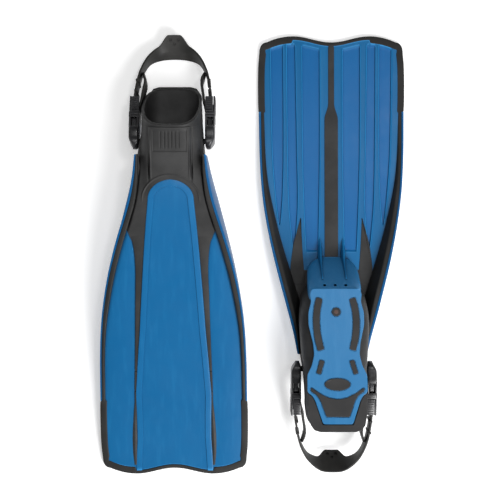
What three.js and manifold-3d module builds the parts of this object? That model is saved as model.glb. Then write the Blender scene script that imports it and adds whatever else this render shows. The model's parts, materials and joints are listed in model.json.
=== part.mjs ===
// A pair of open-heel swim fins. One lies sole down and the other lies sole up beside it.
// Each fin is built in its own frame: x across, y from the blade tip to the heel, z up from the sole.
import * as THREE from 'three';
import { mergeVertices } from 'three/addons/utils/BufferGeometryUtils.js';
import Module from 'manifold-3d';

const wasm = await Module();
wasm.setup();

// ---- driving dimensions, in mm and degrees ----
const gap = 0.35;                 // clearance between neighbouring pieces
const bladeSlope = Math.tan(THREE.MathUtils.degToRad(9));
const plateHalf = 2;              // half the blade plate's thickness
const tipEdgeHalf = 2.8;          // half the rubber tip edge's thickness
const tipLobeX = 57;              // the two lobes of the tip
const tipNotch = 9;               // depth of the notch between the lobes
const tipCornerX = 106;
const tipCornerY = 14;
const tipBand = 6;                // width of the rubber tip edge between the lobes' crests
const sideBand = 9.5;             // and outside them
const railStart = 112;            // the side rails run from here
const railEnd = 468;              // to here
const railCount = 22;             // cross-sections along a rail
const plateEnd = 350;             // rear edge of the blade plate
const panelRound = 405;           // the raised centre panel's rounded end starts here
const panelEnd = 433;             // and ends here
const panelRoundHalf = 32.8;
const panelTop = 3.1;             // height of the centre panel over the blade's middle plane
const legTop = 3;
const legStart = 20;
const wedgeStart = 270;           // the rubber leg passes through the plate behind this point
const stripeHalf = 4.4;
const stripeWideHalf = 10;
const soleBottom = 0.5;           // underside of the blue sole frame, above the rubber pads
const soleTop = 4.5;
const padTop = 2.2;
const wall = 3.2;                 // rubber wall of the foot pocket
const rimTop = 96;                // top of the instep rim
const rimY = 516;
const pocketBottom = soleTop + gap;
const pivotY = 490;               // strap pivot on the side of the foot pocket
const pivotZ = 50;
const pivotRadius = 4;
const socketInner = 47.5;         // inner and outer faces of the buckle
const socketOuter = 61.5;
const socketHalf = 14.5;          // half the buckle's height
const tunnelHalf = 12.3;
const windowStart = 508;
const windowEnd = 522;
const socketEnd = 531;
const clipEnd = 555;
const barY = 545;
const barX = 51.3;
const barRadius = 2.6;
const strapThickness = 3;
const strapHalf = 10.8;
const strapApexY = 635;
const leverThickness = 3;

const finPlaces = {
  finA: { x: -112, tipY: -334, strapSwing: -16.5, strapLean: 48, soleUp: false },
  finB: { x: 121, tipY: 319.5, strapSwing: 16.6, strapLean: -38, soleUp: true },
};

// ---- materials ----
const blue = new THREE.MeshStandardMaterial({ color: 0x1f66a8, roughness: 0.45, metalness: 0 });
const rubber = new THREE.MeshStandardMaterial({ color: 0x2f2f31, roughness: 0.7, metalness: 0 });
const buckleBlack = new THREE.MeshStandardMaterial({ color: 0x222224, roughness: 0.45, metalness: 0 });
const strapBlack = new THREE.MeshStandardMaterial({ color: 0x2a2a2b, roughness: 0.65, metalness: 0 });
const steel = new THREE.MeshStandardMaterial({ color: 0x9a9c9e, roughness: 0.3, metalness: 1 });

// ---- solids: closed meshes, joined and cut ----
function welded(geometry) {
  const bare = geometry.clone();
  bare.deleteAttribute('normal');
  bare.deleteAttribute('uv');
  return mergeVertices(bare, 1e-4);
}

function toSolid(geometry) {
  const merged = welded(geometry);
  return new wasm.Manifold(new wasm.Mesh({
    numProp: 3,
    vertProperties: new Float32Array(merged.attributes.position.array),
    triVerts: new Uint32Array(merged.index.array),
  }));
}

function toGeometry(solid) {
  const mesh = solid.getMesh();
  const geometry = new THREE.BufferGeometry();
  geometry.setAttribute('position', new THREE.BufferAttribute(mesh.vertProperties.slice(), 3));
  geometry.setIndex(new THREE.BufferAttribute(mesh.triVerts.slice(), 1));
  geometry.computeVertexNormals();
  return geometry;
}

function join(first, ...others) {
  return toGeometry(others.reduce((sum, other) => sum.add(toSolid(other)), toSolid(first)));
}

function cut(host, ...tools) {
  return toGeometry(tools.reduce((rest, tool) => rest.subtract(toSolid(tool)), toSolid(host)));
}

// A smooth curve through [position, value] points.
function profile(points) {
  const last = points.length - 1;
  const slopeAt = (i) => {
    const before = points[Math.max(i - 1, 0)];
    const after = points[Math.min(i + 1, last)];
    return (after[1] - before[1]) / (after[0] - before[0]);
  };
  return (position) => {
    let i = 0;
    while (i < last - 1 && position > points[i + 1][0]) i += 1;
    const [start, low] = points[i];
    const [end, high] = points[i + 1];
    const span = end - start;
    const u = THREE.MathUtils.clamp((position - start) / span, 0, 1);
    const a = (1 + 2 * u) * (1 - u) * (1 - u);
    const b = u * (1 - u) * (1 - u);
    const c = u * u * (3 - 2 * u);
    const d = u * u * (u - 1);
    return a * low + b * span * slopeAt(i) + c * high + d * span * slopeAt(i + 1);
  };
}

function steps(from, to, count) {
  return Array.from({ length: count + 1 }, (_, i) => from + (to - from) * i / count);
}

// A closed solid through rings of equal point count; both ends are capped.
function loft(rings) {
  const size = rings[0].length;
  const positions = rings.flat().flatMap((p) => [p.x, p.y, p.z]);
  const index = [];
  for (let r = 0; r + 1 < rings.length; r += 1) {
    for (let i = 0; i < size; i += 1) {
      const a = r * size + i;
      const b = r * size + (i + 1) % size;
      index.push(a, b, a + size, b, b + size, a + size);
    }
  }
  const lastRing = (rings.length - 1) * size;
  for (let i = 1; i + 1 < size; i += 1) {
    index.push(0, i + 1, i);
    index.push(lastRing, lastRing + i, lastRing + i + 1);
  }
  const geometry = new THREE.BufferGeometry();
  geometry.setAttribute('position', new THREE.BufferAttribute(new Float32Array(positions), 3));
  geometry.setIndex(index);
  return faceOutward(geometry);
}

function faceOutward(geometry) {
  const position = geometry.attributes.position;
  const index = geometry.index.array;
  const [a, b, c] = [new THREE.Vector3(), new THREE.Vector3(), new THREE.Vector3()];
  let volume = 0;
  for (let i = 0; i < index.length; i += 3) {
    a.fromBufferAttribute(position, index[i]);
    b.fromBufferAttribute(position, index[i + 1]);
    c.fromBufferAttribute(position, index[i + 2]);
    volume += a.dot(b.cross(c));
  }
  if (volume < 0) {
    for (let i = 0; i < index.length; i += 3) {
      [index[i + 1], index[i + 2]] = [index[i + 2], index[i + 1]];
    }
  }
  geometry.computeVertexNormals();
  return geometry;
}

function slab(points, low, high) {
  const shape = new THREE.Shape(points.map(([x, y]) => new THREE.Vector2(x, y)));
  const geometry = new THREE.ExtrudeGeometry(shape, { depth: high - low, bevelEnabled: false, steps: 1 });
  return geometry.translate(0, 0, low);
}

// A polygon moved outward by a distance (inward when negative).
function offset(points, distance) {
  const turn = THREE.ShapeUtils.isClockWise(points.map(([x, y]) => new THREE.Vector2(x, y))) ? -1 : 1;
  return points.map(([x, y], i) => {
    const [px, py] = points[(i + points.length - 1) % points.length];
    const [nx, ny] = points[(i + 1) % points.length];
    const back = new THREE.Vector2(x - px, y - py).normalize();
    const ahead = new THREE.Vector2(nx - x, ny - y).normalize();
    const normal = new THREE.Vector2(back.y + ahead.y, -back.x - ahead.x).normalize();
    const stretch = distance * turn / Math.max(normal.dot(new THREE.Vector2(ahead.y, -ahead.x)), 0.5);
    return [x + normal.x * stretch, y + normal.y * stretch];
  });
}

function mirrored(points) {
  return points.map(([x, y]) => [-x, y]);
}

// Right-hand points from front to rear, closed along the mirrored left side.
function symmetric(points) {
  return [...points, ...mirrored(points).reverse().filter(([x]) => Math.abs(x) > 1e-6)];
}

// A band of constant half-width along a path, with blunt rounded ends.
function ribbon(path, half) {
  const curve = new THREE.SplineCurve(path.map(([x, y]) => new THREE.Vector2(x, y)));
  const count = Math.max(4, path.length * 2);
  const left = [];
  const right = [];
  for (const u of steps(0, 1, count)) {
    const point = curve.getPoint(u);
    const along = curve.getTangent(u);
    const width = (u === 0 || u === 1) ? half * 0.6 : half;
    left.push([point.x - along.y * width, point.y + along.x * width]);
    right.unshift([point.x + along.y * width, point.y - along.x * width]);
  }
  return [...left, ...right];
}

// Leans a piece built about z = 0 onto the blade's sloping middle plane.
function onBlade(geometry) {
  const lean = new THREE.Matrix4().set(1, 0, 0, 0, 0, 1, 0, 0, 0, bladeSlope, 1, tipEdgeHalf, 0, 0, 0, 1);
  return geometry.applyMatrix4(lean);
}

// ---- the blade's outline and rails ----
const bandHalfWidth = profile([[tipCornerY, tipCornerX], [46, 108.8], [95, 109], [railStart, 108.3]]);
const railHalfWidth = profile([
  [railStart, 108], [180, 106.7], [235, 103], [289, 94.8], [340, 83.8], [397, 69], [440, 57.5],
  [railEnd, 51.5],
]);
const railTop = profile([[railStart, 3.4], [200, 4.8], [300, 6.3], [400, 7.2], [railEnd, 6]]);
const railBottom = profile([
  [railStart, -3.6], [200, -8], [290, -15], [360, -23], [425, -25], [railEnd, -14],
]);
const railLean = profile([
  [railStart, 0], [250, 0.6], [300, 1.5], [340, 3.2], [400, 6.4], [435, 4.6], [railEnd, 1.5],
]);
const skinWidth = profile([[railStart, 2.4], [270, 2.4], [350, 3.2], [430, 3.2], [railEnd, 2.2]]);
const capWidth = profile([[railStart, 4.8], [200, 5], [270, 7], [400, 7.2], [440, 4.5], [railEnd, 2.6]]);

function tipLine(x) {
  const reach = Math.abs(x);
  if (reach <= tipLobeX) return tipNotch * (1 + Math.cos(Math.PI * reach / tipLobeX)) / 2;
  return tipCornerY * ((reach - tipLobeX) / (tipCornerX - tipLobeX)) ** 2;
}

function bandAt(x) {
  return Math.abs(x) < tipLobeX ? tipBand : sideBand + 1.3;
}

// x of the rail's leaning side at a height over the blade plane, inset from the outer face.
function railX(y, height, inset) {
  const rise = (height - railBottom(y)) / (railTop(y) - railBottom(y));
  return railHalfWidth(y) - railLean(y) * rise - inset;
}

// Cross-sections of the rubber edge from the right rail's rear end round to the middle of the tip.
function edgeSections(grow) {
  const sections = [];
  for (const y of steps(railEnd, railStart, railCount)) {
    const top = railTop(y) + 1.2 + grow;
    const bottom = railBottom(y) - grow;
    const outer = skinWidth(y) + 1.5 * gap - grow;
    const inner = skinWidth(y) + capWidth(y) + grow;
    sections.push([
      new THREE.Vector3(railX(y, bottom, outer), y, bottom),
      new THREE.Vector3(railX(y, top, outer), y, top),
      new THREE.Vector3(railX(y, top, inner), y, top),
      new THREE.Vector3(railX(y, bottom, inner), y, bottom),
    ]);
  }
  const half = tipEdgeHalf + grow;
  const flat = (outer, inner) => [
    new THREE.Vector3(outer[0], outer[1], -half),
    new THREE.Vector3(outer[0], outer[1], half),
    new THREE.Vector3(inner[0], inner[1], half),
    new THREE.Vector3(inner[0], inner[1], -half),
  ];
  for (const y of [railStart - 2, 80, 50, 30]) {
    const x = bandHalfWidth(y);
    sections.push(flat([x + grow, y], [x - sideBand - grow, y + 2]));
  }
  const cornerX = tipCornerX - 1;
  const cornerY = tipCornerY - 2;
  sections.push(flat([cornerX + grow, cornerY], [cornerX - sideBand - grow, cornerY + sideBand]));
  for (const x of steps(tipCornerX - 14, 0, 9)) {
    const y = tipLine(x);
    sections.push(flat([x, y - grow], [x * 0.97, y + bandAt(x) + grow]));
  }
  return sections;
}

function mirrorRing(ring) {
  return ring.map((p) => new THREE.Vector3(-p.x, p.y, p.z));
}

function edgeSolid(grow = 0) {
  const right = edgeSections(grow);
  const left = right.slice(0, -1).reverse().map(mirrorRing);
  return loft([...right, ...left]);
}

// The inside line of the rubber edge, which the plate and the web fill.
function insideEdge(from, to, count, inset) {
  return steps(from, to, count).map((y) => {
    const x = y < railStart
      ? bandHalfWidth(y) - sideBand - inset
      : railX(y, plateHalf + 1, skinWidth(y) + capWidth(y) + inset);
    return [x, y];
  });
}

function railSkin(side) {
  const rings = steps(railStart, railEnd, railCount).map((y) => {
    const top = railTop(y);
    const bottom = railBottom(y);
    const ring = [
      new THREE.Vector3(railX(y, bottom, 0), y, bottom),
      new THREE.Vector3(railX(y, top, 0), y, top),
      new THREE.Vector3(railX(y, top, skinWidth(y)), y, top),
      new THREE.Vector3(railX(y, bottom, skinWidth(y)), y, bottom),
    ];
    return side > 0 ? ring : mirrorRing(ring);
  });
  return onBlade(loft(rings));
}

// ---- the blade plate, its raised centre panel and the rubber legs ----
const panelHalf = profile([
  [8, 57.5], [34, 56.2], [52, 55.1], [89, 55.1], [122, 55.6], [144, 54], [180, 51.3], [215, 48.2],
  [250, 45.8], [302, 42], [354, 37.8], [panelRound, panelRoundHalf],
]);
const legOuter = profile([
  [legStart, 60], [34, 62], [60, 62], [89, 59.9], [110, 57.6], [130, 57.3], [197, 55], [268, 53],
  [302, 52], [325, 52.8], [plateEnd, 56.5],
]);

function panelOutline() {
  const side = steps(tipLine(50) + tipBand + 1, panelRound, 14).map((y) => [panelHalf(y), y]);
  const round = steps(0, 90, 5).slice(1).map((degrees) => {
    const angle = THREE.MathUtils.degToRad(degrees);
    return [panelRoundHalf * Math.cos(angle), panelRound + (panelEnd - panelRound) * Math.sin(angle)];
  });
  round[round.length - 1][0] = 0;
  const tip = steps(0, 50, 5).map((x) => [x, tipLine(x) + tipBand + 1]);
  return symmetric([...tip.slice(0, -1), ...side, ...round]);
}

function wedgeOutline(grow) {
  return offset([[45.5, wedgeStart], [59, plateEnd + 6], [40.5, plateEnd + 6]], grow);
}

function legOutline() {
  const inner = steps(legStart, plateEnd, 20).map((y) => [panelHalf(y) + gap, y]);
  const outer = steps(plateEnd, legStart, 20).map((y) => [legOuter(y), y]);
  return [...inner, ...outer];
}

function stripeOutline(grow) {
  const narrow = [[0, 16], [stripeHalf, 16], [stripeHalf, 104]];
  const wide = [[stripeWideHalf, 118], [stripeWideHalf, 322], [0, 322]];
  return offset(symmetric([...narrow, ...wide]), grow);
}

function bladePlate() {
  const tip = steps(0, tipCornerX - 16, 12).map((x) => [x * 0.97, tipLine(x) + bandAt(x) + gap]);
  const side = insideEdge(36, plateEnd, 10, gap);
  const plate = slab(symmetric([...tip, ...side, [0, plateEnd]]), -plateHalf, plateHalf);
  const panel = slab(panelOutline(), 1.5, panelTop);
  const blade = cut(
    join(plate, panel),
    slab(wedgeOutline(gap), -10, panelTop + 1),
    slab(mirrored(wedgeOutline(gap)), -10, panelTop + 1),
    slab(stripeOutline(gap), -5, -1),
    edgeSolid(gap),
  );
  return onBlade(blade);
}

function flexLeg(side) {
  const strip = slab(legOutline(), plateHalf + gap, legTop);
  const wedge = slab(wedgeOutline(0), -plateHalf - 0.6, plateHalf + gap + 0.1);
  const leg = join(strip, wedge);
  const end = plateEnd - gap;
  const trimmed = cut(leg, slab([[-200, end], [200, end], [200, 600], [-200, 600]], -40, 40));
  const placed = side > 0 ? trimmed : mirrorGeometry(trimmed);
  return onBlade(placed);
}

function mirrorGeometry(geometry) {
  return faceOutward(welded(geometry).applyMatrix4(new THREE.Matrix4().makeScale(-1, 1, 1)));
}

function centreStripe() {
  return onBlade(slab(stripeOutline(0), -plateHalf - 0.8, -1 - gap));
}

function rubberEdge() {
  return onBlade(edgeSolid());
}

// ---- the foot pocket ----
// Rings lean back: each has its own y at the top and at the sole.
const pocketRings = [
  { top: 338, bottom: 386, half: 21, height: 49 },
  { top: 345, bottom: 391, half: 33, height: 52 },
  { top: 354, bottom: 397, half: 35, height: 56 },
  { top: 366, bottom: 407, half: 45, height: 61.5 },
  { top: 395, bottom: 433, half: 50, height: 67 },
  { top: 430, bottom: 470, half: 48.5, height: 73 },
  { top: 465, bottom: 508, half: 45.5, height: 81 },
  { top: 495, bottom: 546, half: 43, height: 89 },
  { top: rimY, bottom: 571, half: 42, height: rimTop },
];

function pocketRing({ top, bottom, half, height }, floor, inset, pointCount = 24) {
  const middle = (floor + height) / 2;
  return steps(0, 360, pointCount).slice(0, -1).map((degrees) => {
    const angle = THREE.MathUtils.degToRad(degrees);
    const sway = Math.cos(angle);
    const rise = Math.sin(angle);
    const x = (half - inset) * Math.sign(sway) * Math.abs(sway) ** 0.55;
    const reach = (height - floor) / 2 - inset;
    const z = middle + reach * Math.sign(rise) * Math.abs(rise) ** 0.65;
    const y = bottom + (top - bottom) * (z - floor) / (height - floor);
    return new THREE.Vector3(x, y, z);
  });
}

function footPocket() {
  const outer = pocketRings.map((ring) => pocketRing(ring, pocketBottom, 0));
  const inner = pocketRings.slice(1).reverse().map((ring) => pocketRing(ring, pocketBottom, wall));
  const shell = loft([...outer, ...inner]);
  const start = plateEnd + gap;
  const side = insideEdge(start, railEnd - 6, 8, gap);
  const web = onBlade(slab(symmetric([[0, start], ...side, [0, railEnd - 6]]), -2.6, 1.5 - gap));
  const hollow = loft(pocketRings.slice(2, -1).map((ring) => pocketRing(ring, pocketBottom, wall)));
  const post = new THREE.CylinderGeometry(pivotRadius, pivotRadius, 15, 20).rotateZ(Math.PI / 2);
  const posts = [-1, 1].map((hand) => post.clone().translate(hand * 49.5, pivotY, pivotZ));
  const body = join(shell, cut(web, hollow), ...posts);
  const panelSeat = onBlade(slab(offset(panelOutline(), gap), 1.5 - gap, 30));
  const plateSeat = onBlade(slab([[-120, 0], [120, 0], [120, start], [-120, start]], -3.2, 30));
  return cut(body, onBlade(edgeSolid(gap)), hollow, panelSeat, plateSeat);
}

// ---- the sole ----
const cupRings = [
  { top: 327, bottom: 379, half: 26.5, height: 50.5 },
  { top: 332, bottom: 383, half: 33.5, height: 51.5 },
  { top: 341, bottom: 390, half: 37.5, height: 53 },
  { top: 353, bottom: 398, half: 38.5, height: 55 },
];
const soleFront = 385;
const soleSide = [
  [30, soleFront], [36, 389], [35, 398], [39, 413.5], [39, 430], [33, 456], [31.5, 472], [35, 487],
  [41.5, 500],
];
const frameRear = [[41.5, 524], [35, 528.5], [31, 535.5], [20.5, 567]];
const frameHole = [
  [0, 557.5], [16.3, 557.5], [24.5, 535], [29.5, 527.8], [37, 523], [38.3, 519.5], [36, 517], [24, 525],
  [12, 531], [0, 533],
];

function drainHole(x) {
  return new THREE.CylinderGeometry(2.4, 2.4, 30, 12).rotateX(Math.PI / 2).translate(x, 380, 8);
}

function soleFrame() {
  const outline = symmetric([[0, soleFront], ...soleSide, ...frameRear, [0, 567]]);
  const plate = slab(outline, soleBottom, soleTop);
  const hole = slab(symmetric(frameHole), -1, soleTop + 1);
  const outer = cupRings.map((ring) => pocketRing(ring, soleBottom, 0));
  const inner = cupRings.slice(1).reverse().map((ring) => {
    const inside = { ...ring, top: ring.top + 1, bottom: ring.bottom + 1 };
    return pocketRing(inside, soleBottom, 3.4);
  });
  const cup = loft([...outer, ...inner]);
  const pads = padOutlines().map((pad) => slab(offset(pad.outline, gap), -1, padTop + gap));
  const drains = [-15, 0, 15].map(drainHole);
  return cut(join(plate, cup), hole, ...pads, ...drains, footPocketKeepOut());
}

// The foot pocket's front grown a little, so the toe cup clears it.
function footPocketKeepOut() {
  const rings = pocketRings.slice(0, 5).map((ring) => {
    const grown = { ...ring, half: ring.half + gap, height: ring.height + gap };
    return pocketRing(grown, pocketBottom - gap, 0);
  });
  rings.forEach((ring) => ring.forEach((p) => { p.y -= 2 * gap; }));
  return loft(rings);
}

function circle(x, y, radiusX, radiusY, count) {
  return steps(0, 360, count).slice(0, -1).map((degrees) => {
    const angle = THREE.MathUtils.degToRad(degrees);
    return [x + radiusX * Math.cos(angle), y + radiusY * Math.sin(angle)];
  });
}

function padOutlines() {
  const long = ribbon([[23, 393], [28, 428], [22, 466]], 4.8);
  const short = ribbon([[20.5, 480], [26, 498.5]], 3.4);
  return [
    { name: 'toe_grip_right', outline: long },
    { name: 'toe_grip_left', outline: mirrored(long) },
    { name: 'arch_grip_right', outline: short },
    { name: 'arch_grip_left', outline: mirrored(short) },
    { name: 'heel_grip_oval', outline: circle(0, 513, 18, 8.4, 20) },
    { name: 'sole_plug', outline: circle(0, 412.5, 6.2, 6.2, 16) },
  ];
}

function heelCentrePad() {
  return slab(offset(symmetric(frameHole), -gap), 0, soleTop);
}

function heelBumper() {
  const outside = [[0, 577.5], [24, 577.5], [32.5, 575], [37.5, 568], [39.8, 556], [41.5, 525.3]];
  const block = slab(symmetric([...outside, [0, 525.3]]), 0, soleTop);
  const frameSide = [[0, 524.3], [44, 524.3], ...frameRear.slice(1), [0, 567]];
  return cut(block, slab(offset(symmetric(frameSide), gap), -1, soleTop + 1));
}

// ---- the buckles ----
// They are built on the right, in the strap's own frame: y from the pivot rearward, z from the pivot.
function box(x0, x1, y0, y1, z0, z1) {
  const shape = new THREE.BoxGeometry(x1 - x0, y1 - y0, z1 - z0);
  return shape.translate((x0 + x1) / 2, (y0 + y1) / 2, (z0 + z1) / 2);
}

// A plate lying in the y-z plane between two x values.
function sideSlab(points, x0, x1) {
  const upright = new THREE.Matrix4().set(0, 0, 1, x0, 1, 0, 0, 0, 0, 1, 0, 0, 0, 0, 0, 1);
  return slab(points, 0, x1 - x0).applyMatrix4(upright);
}

function buckleSocket() {
  const nose = steps(90, 270, 8).map((degrees) => {
    const angle = THREE.MathUtils.degToRad(degrees);
    return [11.5 * Math.cos(angle), 11.5 * Math.sin(angle)];
  });
  const end = socketEnd - pivotY;
  const outline = [[end, socketHalf], [14, socketHalf], ...nose, [14, -socketHalf], [end, -socketHalf]];
  const body = faceOutward(welded(sideSlab(outline, socketInner, socketOuter)));
  const tunnel = box(50.5, 58.5, 15, end + 1, -tunnelHalf, tunnelHalf);
  const window = box(50, 59, windowStart - pivotY, windowEnd - pivotY, -socketHalf - 1, socketHalf + 1);
  const bore = new THREE.CylinderGeometry(pivotRadius + gap, pivotRadius + gap, 11, 20).rotateZ(Math.PI / 2)
    .translate(socketInner + 4.6, 0, 0);
  const chamfer = box(-6, 6, -30, 30, -40, 40).rotateZ(0.35).translate(socketOuter + 3.2, -9, 0);
  return cut(body, tunnel, window, bore, chamfer);
}

function buckleClip() {
  const front = socketEnd - pivotY + 0.6;
  const end = clipEnd - pivotY;
  const tongue = box(51.2, 57.8, windowStart - pivotY - 1.5, front + 3, -1.6, 1.6);
  const body = box(socketInner, 58.6, front, end, -socketHalf, socketHalf);
  const slot = box(socketInner - 1, 60, front + 3.4, end + 1, -strapHalf - 0.8, strapHalf + 0.8);
  const barHole = new THREE.CylinderGeometry(barRadius + gap, barRadius + gap, 40, 16).rotateX(Math.PI / 2)
    .translate(barX, barY - pivotY, 0);
  return cut(join(body, tongue), slot, barHole);
}

function strapBar() {
  return new THREE.CylinderGeometry(barRadius, barRadius, 2 * socketHalf - 1, 16).rotateX(Math.PI / 2)
    .translate(barX, barY - pivotY, 0);
}

function releaseButton(sign) {
  const inner = sign * 4.4;
  const outer = sign * (tunnelHalf - 0.4);
  const low = Math.min(inner, outer);
  const high = Math.max(inner, outer);
  return box(51.4, 57.6, windowStart - pivotY + 1, windowEnd - pivotY - 1, low, high);
}

function strapLever() {
  const front = socketEnd - pivotY + 1.2;
  const end = clipEnd - pivotY;
  const outer = 59 + leverThickness;
  const outline = [[59, front], [outer, front + 1], [outer, end + 2.5], [60.6, end + 2.5], [59, end]];
  return slab(outline, -12.5, 12.5);
}

// ---- the heel strap ----
function strapCurve() {
  const turn = barRadius + 0.5 + strapThickness / 2;
  const around = steps(180, 360, 4).map((degrees) => {
    const angle = THREE.MathUtils.degToRad(degrees);
    return [barX + turn * Math.cos(angle), barY - pivotY + turn * Math.sin(angle)];
  });
  const right = [
    [45.5, 108], [41.5, 93], [43.6, 77], ...around, [barX + turn - 0.6, 66],
    [52.5, 90], [47.5, 111], [37, 131], [20, strapApexY - pivotY - 2.6], [0, strapApexY - pivotY],
  ];
  const all = [...right, ...mirrored(right.slice(0, -1)).reverse()];
  return new THREE.CatmullRomCurve3(all.map(([x, y]) => new THREE.Vector3(x, y, 0)), false, 'centripetal');
}

function heelStrap(leanDegrees) {
  const curve = strapCurve();
  const rings = steps(0, 1, 78).map((u) => {
    const point = curve.getPoint(u);
    const along = curve.getTangent(u);
    const outward = new THREE.Vector3(along.y, -along.x, 0);
    const reach = Math.abs(point.x);
    const nearApex = point.y > 110 ? 1 - THREE.MathUtils.smoothstep(reach, 8, 46) : 0;
    const lean = THREE.MathUtils.degToRad(leanDegrees) * nearApex;
    const rear = new THREE.Vector3(0, 1, 0);
    const up = new THREE.Vector3(0, 0, Math.cos(lean)).addScaledVector(rear, Math.sin(lean));
    const square = outward.clone().addScaledVector(up, -outward.dot(up)).normalize();
    const flat = square.multiplyScalar(strapThickness / 2);
    const tab = point.y > 110 ? 13 * (1 - THREE.MathUtils.smoothstep(reach, 10, 28)) : 0;
    const high = up.clone().multiplyScalar(strapHalf + tab + nearApex);
    const low = up.clone().multiplyScalar(-strapHalf - nearApex);
    return [
      point.clone().add(low).add(flat), point.clone().add(high).add(flat),
      point.clone().add(high).sub(flat), point.clone().add(low).sub(flat),
    ];
  });
  return loft(rings);
}

// ---- one fin ----
function named(name, geometry, material) {
  const mesh = new THREE.Mesh(geometry, material);
  mesh.name = name;
  return mesh;
}

function makeFin(prefix, place) {
  const fin = new THREE.Group();
  fin.add(
    named(`${prefix}_blade`, bladePlate(), blue),
    named(`${prefix}_rail_right`, railSkin(1), blue),
    named(`${prefix}_rail_left`, railSkin(-1), blue),
    named(`${prefix}_rubber_edge`, rubberEdge(), rubber),
    named(`${prefix}_flex_leg_right`, flexLeg(1), rubber),
    named(`${prefix}_flex_leg_left`, flexLeg(-1), rubber),
    named(`${prefix}_centre_stripe`, centreStripe(), rubber),
    named(`${prefix}_foot_pocket`, footPocket(), rubber),
    named(`${prefix}_sole_frame`, soleFrame(), blue),
    named(`${prefix}_heel_bumper`, heelBumper(), rubber),
    named(`${prefix}_heel_pad_centre`, heelCentrePad(), rubber),
  );
  for (const { name, outline } of padOutlines()) {
    fin.add(named(`${prefix}_${name}`, slab(outline, 0, padTop), rubber));
  }

  const strap = new THREE.Group();
  strap.position.set(0, pivotY, pivotZ);
  strap.rotation.x = THREE.MathUtils.degToRad(place.strapSwing);
  for (const [side, hand] of [['right', (g) => g], ['left', mirrorGeometry]]) {
    strap.add(
      named(`${prefix}_buckle_socket_${side}`, hand(buckleSocket()), buckleBlack),
      named(`${prefix}_buckle_clip_${side}`, hand(buckleClip()), buckleBlack),
      named(`${prefix}_button_upper_${side}`, hand(releaseButton(1)), buckleBlack),
      named(`${prefix}_button_lower_${side}`, hand(releaseButton(-1)), buckleBlack),
      named(`${prefix}_strap_lever_${side}`, hand(strapLever()), buckleBlack),
      named(`${prefix}_strap_bar_${side}`, hand(strapBar()), steel),
    );
  }
  strap.add(named(`${prefix}_heel_strap`, heelStrap(place.strapLean), strapBlack));
  fin.add(strap);

  fin.position.set(place.x, place.tipY, 0);
  if (place.soleUp) {
    // Turned over, it rests on the top of the tip and on the instep rim.
    const tilt = Math.atan((rimTop - 2 * tipEdgeHalf) / rimY);
    fin.rotation.x = Math.PI - tilt;
    fin.position.z = 2 * tipEdgeHalf * Math.cos(tilt);
  }
  return fin;
}

const swimFins = new THREE.Group();
for (const [prefix, place] of Object.entries(finPlaces)) {
  swimFins.add(makeFin(prefix, place));
}

// The origin is the middle of the pair's footprint, on the floor.
swimFins.updateMatrixWorld(true);
const footprint = new THREE.Box3().setFromObject(swimFins, true);
const middle = footprint.getCenter(new THREE.Vector3());
swimFins.position.set(-middle.x, -middle.y, -footprint.min.z);

export default swimFins;
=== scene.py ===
"""Looks for a pair of open-heel swim fins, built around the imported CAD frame.

Every piece is made in millimetres in its own fin's frame (x across, y from the blade tip to the
heel, z up from the sole) or in the strap's frame (origin on the strap's pivot, y rearward along
the strap, z up), and is then placed by the frame's own joints and mounts.
"""

import json
import math

import bmesh
import bpy
import numpy as np
from mathutils import Matrix, Vector
from mathutils.geometry import delaunay_2d_cdt

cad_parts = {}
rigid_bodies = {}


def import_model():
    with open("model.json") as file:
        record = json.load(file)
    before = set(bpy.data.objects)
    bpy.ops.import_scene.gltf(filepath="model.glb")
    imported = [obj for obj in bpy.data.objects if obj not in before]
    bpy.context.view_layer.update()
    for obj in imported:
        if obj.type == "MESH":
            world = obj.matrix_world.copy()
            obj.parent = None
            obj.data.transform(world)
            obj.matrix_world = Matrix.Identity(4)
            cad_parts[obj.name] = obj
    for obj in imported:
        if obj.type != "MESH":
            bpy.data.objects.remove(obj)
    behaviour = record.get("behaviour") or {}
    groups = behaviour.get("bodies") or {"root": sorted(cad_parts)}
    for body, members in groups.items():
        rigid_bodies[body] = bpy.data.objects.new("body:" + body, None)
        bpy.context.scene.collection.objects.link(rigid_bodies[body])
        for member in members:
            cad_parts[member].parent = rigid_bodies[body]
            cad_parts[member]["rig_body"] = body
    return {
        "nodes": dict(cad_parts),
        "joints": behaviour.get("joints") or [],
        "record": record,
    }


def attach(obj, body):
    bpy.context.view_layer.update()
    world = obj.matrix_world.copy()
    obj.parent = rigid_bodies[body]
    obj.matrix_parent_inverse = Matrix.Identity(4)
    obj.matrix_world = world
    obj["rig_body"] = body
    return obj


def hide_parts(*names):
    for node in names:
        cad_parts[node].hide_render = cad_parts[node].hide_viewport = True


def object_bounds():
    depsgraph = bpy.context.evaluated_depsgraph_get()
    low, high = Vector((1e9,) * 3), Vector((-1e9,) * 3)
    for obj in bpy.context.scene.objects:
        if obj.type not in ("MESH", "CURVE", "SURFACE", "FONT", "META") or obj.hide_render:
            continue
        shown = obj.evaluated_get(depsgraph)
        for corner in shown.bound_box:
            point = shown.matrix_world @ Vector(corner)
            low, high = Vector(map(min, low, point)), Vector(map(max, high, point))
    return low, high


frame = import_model()
cad_box = [list(corner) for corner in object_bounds()]

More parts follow.
